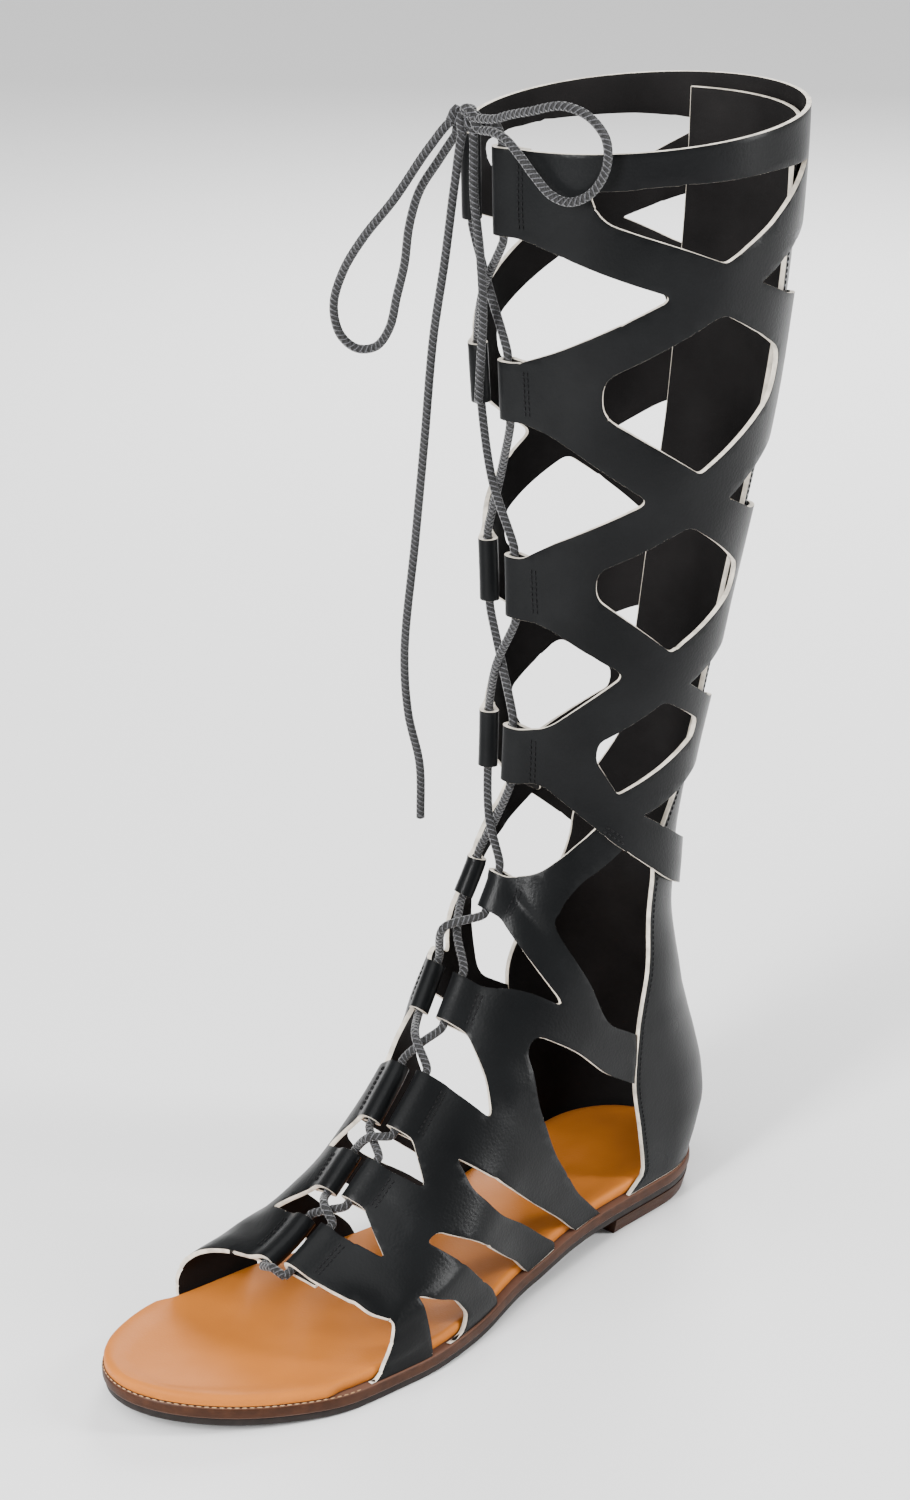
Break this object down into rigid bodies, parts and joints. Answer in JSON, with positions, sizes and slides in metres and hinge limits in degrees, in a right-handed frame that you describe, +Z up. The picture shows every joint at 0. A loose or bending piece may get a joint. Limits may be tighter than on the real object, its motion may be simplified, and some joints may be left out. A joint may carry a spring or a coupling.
{
  "type": "gladiator sandal",
  "caption": "Knee-high gladiator sandal of joined straps, laced down the front, on a flat layered sole with a closed heel.",
  "frame": {"origin": "on the floor under the middle of the heel block, which is under the axis of the leg part", "axes": "+X to the toe, +Y to the outer side of the foot, +Z up from the floor along the leg"},
  "size_m": [0.3268, 0.1263, 0.4452],
  "materials": {
    "upper": "smooth black leather, soft sheen",
    "heel_counter": "smooth black leather",
    "outsole": "dark brown, matt",
    "midsole": "brown stacked leather",
    "heel": "brown stacked leather",
    "footbed": "tan leather, light sheen",
    "lace": "round braided cord"
  },
  "bodies": {
    "root": {"upper": "upper", "heel_counter": "heel_counter", "outsole": "outsole", "midsole": "midsole", "heel": "heel", "footbed": "footbed", "lace": "lace", "lace_knot": "lace", "lace_loop_inner": "lace", "lace_loop_outer": "lace", "lace_end_long": "lace", "lace_end_short": "lace"}
  },
  "joints": []
}
